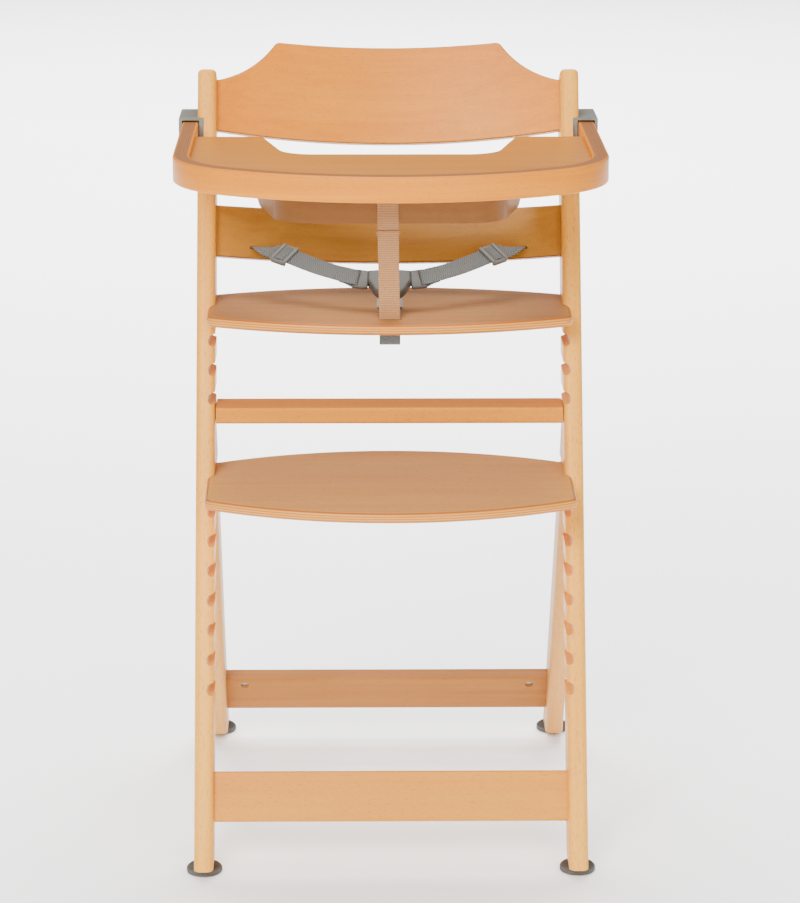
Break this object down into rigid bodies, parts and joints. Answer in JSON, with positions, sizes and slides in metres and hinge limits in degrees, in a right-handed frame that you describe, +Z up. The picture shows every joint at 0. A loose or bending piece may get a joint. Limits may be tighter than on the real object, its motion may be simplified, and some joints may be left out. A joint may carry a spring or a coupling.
{
  "type": "baby high chair",
  "caption": "Wooden high chair with lambda side frames, grooves for seat and footrest, bent backrests, removable tray and a three-way harness.",
  "frame": {"origin": "middle of the chair's box in plan, on the floor under the four feet", "axes": "+Z up, -Y to the front where the tray is, +X to the right seen from the front"},
  "size_m": [0.516, 0.5945, 0.9389],
  "materials": {
    "solid_beech": "satin lacquer",
    "beech_plywood": "satin lacquer",
    "laminated_rim": "satin lacquer",
    "dowel_wood": "raw",
    "grey_plastic": "fine texture",
    "grey_webbing": "woven",
    "beige_webbing": "woven",
    "zinc_steel": "zinc plated"
  },
  "bodies": {
    "frame": {"left_upright": "solid_beech", "left_rear_leg": "solid_beech", "left_tray_bracket": "grey_plastic", "left_latch_spring": "zinc_steel", "left_strap_anchor": "grey_plastic", "left_lap_strap": "grey_webbing", "right_upright": "solid_beech", "right_rear_leg": "solid_beech", "right_tray_bracket": "grey_plastic", "right_latch_spring": "zinc_steel", "right_strap_anchor": "grey_plastic", "right_lap_strap": "grey_webbing", "front_stretcher": "solid_beech", "rear_stretcher": "solid_beech", "middle_crossbar": "solid_beech", "upper_backrest": "beech_plywood", "lower_backrest": "beech_plywood", "front_stretcher_bolts": "zinc_steel", "rear_stretcher_bolts": "zinc_steel", "crossbar_bolts": "zinc_steel", "stretcher_barrel_nuts": "zinc_steel", "crossbar_barrel_nuts": "zinc_steel", "stretcher_dowels": "dowel_wood", "leg_joint_dowels": "dowel_wood", "backrest_screws": "zinc_steel", "bracket_screws": "zinc_steel", "foot_inserts": "zinc_steel"},
    "seat": {"seat_plate": "beech_plywood", "crotch_strap": "grey_webbing", "crotch_adjuster": "grey_plastic", "buckle_body": "grey_plastic", "buckle_spring": "zinc_steel", "left_buckle_tongue": "grey_plastic", "right_buckle_tongue": "grey_plastic"},
    "buckle_button": {"buckle_button": "grey_plastic"},
    "footrest": {"footrest_plate": "beech_plywood"},
    "tray": {"tray_rim": "laminated_rim", "tray_panel": "beech_plywood", "tray_guard": "beech_plywood", "guard_dowels": "dowel_wood", "tray_strap": "beige_webbing", "tray_strap_screws": "zinc_steel"},
    "left_latch": {"left_tray_latch": "grey_plastic"},
    "left_glide": {"left_strap_glide": "grey_plastic"},
    "front_left_stud": {"front_left_foot_stud": "zinc_steel"},
    "front_left_disc": {"front_left_foot_disc": "grey_plastic"},
    "rear_left_stud": {"rear_left_foot_stud": "zinc_steel"},
    "rear_left_disc": {"rear_left_foot_disc": "grey_plastic"},
    "right_latch": {"right_tray_latch": "grey_plastic"},
    "right_glide": {"right_strap_glide": "grey_plastic"},
    "front_right_stud": {"front_right_foot_stud": "zinc_steel"},
    "front_right_disc": {"front_right_foot_disc": "grey_plastic"},
    "rear_right_stud": {"rear_right_foot_stud": "zinc_steel"},
    "rear_right_disc": {"rear_right_foot_disc": "grey_plastic"}
  },
  "joints": [
    {"name": "seat_slide", "type": "slide", "parent": "frame", "child": "seat", "axis": [0, 1, 0], "range_m": [0, 0.04], "deforming": ["left_lap_strap", "right_lap_strap"]},
    {"name": "footrest_slide", "type": "slide", "parent": "frame", "child": "footrest", "axis": [0, -1, 0], "range_m": [0, 0.3]},
    {"name": "tray_slide", "type": "slide", "parent": "frame", "child": "tray", "axis": [0, -1, 0], "range_m": [0, 0.12]},
    {"name": "buckle_button_press", "type": "slide", "parent": "seat", "child": "buckle_button", "axis": [0, 0.5505, -0.8348], "range_m": [0, 0.0025], "stiffness_N_per_m": 600, "springref_m": -0.002, "deforming": ["buckle_spring"]},
    {"name": "left_latch_pull", "type": "slide", "parent": "frame", "child": "left_latch", "axis": [0, 0, -1], "range_m": [0, 0.005], "stiffness_N_per_m": 500, "springref_m": -0.003, "deforming": ["left_latch_spring"]},
    {"name": "left_glide_slide", "type": "slide", "parent": "frame", "child": "left_glide", "axis": [0.812, -0.5575, -0.1728], "range_m": [0, 0.05]},
    {"name": "right_latch_pull", "type": "slide", "parent": "frame", "child": "right_latch", "axis": [0, 0, -1], "range_m": [0, 0.005], "stiffness_N_per_m": 500, "springref_m": -0.003, "deforming": ["right_latch_spring"]},
    {"name": "right_glide_slide", "type": "slide", "parent": "frame", "child": "right_glide", "axis": [-0.812, -0.5575, -0.1728], "range_m": [0, 0.05]},
    {"name": "front_left_stud_slide", "type": "slide", "parent": "frame", "child": "front_left_stud", "axis": [0, 0, -1], "range_m": [0, 0.0075]},
    {"name": "front_left_disc_spin", "type": "hinge", "parent": "front_left_stud", "child": "front_left_disc", "pos_m": [-0.2235, -0.23148, 0.004], "axis": [0, 0, -1], "range_deg": [0, 2160]},
    {"name": "front_right_stud_slide", "type": "slide", "parent": "frame", "child": "front_right_stud", "axis": [0, 0, -1], "range_m": [0, 0.0075]},
    {"name": "front_right_disc_spin", "type": "hinge", "parent": "front_right_stud", "child": "front_right_disc", "pos_m": [0.2235, -0.23148, 0.004], "axis": [0, 0, -1], "range_deg": [0, 2160]},
    {"name": "rear_left_stud_slide", "type": "slide", "parent": "frame", "child": "rear_left_stud", "axis": [0, 0, -1], "range_m": [0, 0.0075]},
    {"name": "rear_left_disc_spin", "type": "hinge", "parent": "rear_left_stud", "child": "rear_left_disc", "pos_m": [-0.2235, 0.27606, 0.004], "axis": [0, 0, -1], "range_deg": [0, 2160]},
    {"name": "rear_right_stud_slide", "type": "slide", "parent": "frame", "child": "rear_right_stud", "axis": [0, 0, -1], "range_m": [0, 0.0075]},
    {"name": "rear_right_disc_spin", "type": "hinge", "parent": "rear_right_stud", "child": "rear_right_disc", "pos_m": [0.2235, 0.27606, 0.004], "axis": [0, 0, -1], "range_deg": [0, 2160]}
  ],
  "couplings": [
    {"joint": "front_left_disc_spin", "follows": "front_left_stud_slide", "rad_per_m": 5026.5},
    {"joint": "front_right_disc_spin", "follows": "front_right_stud_slide", "rad_per_m": 5026.5},
    {"joint": "rear_left_disc_spin", "follows": "rear_left_stud_slide", "rad_per_m": 5026.5},
    {"joint": "rear_right_disc_spin", "follows": "rear_right_stud_slide", "rad_per_m": 5026.5}
  ]
}
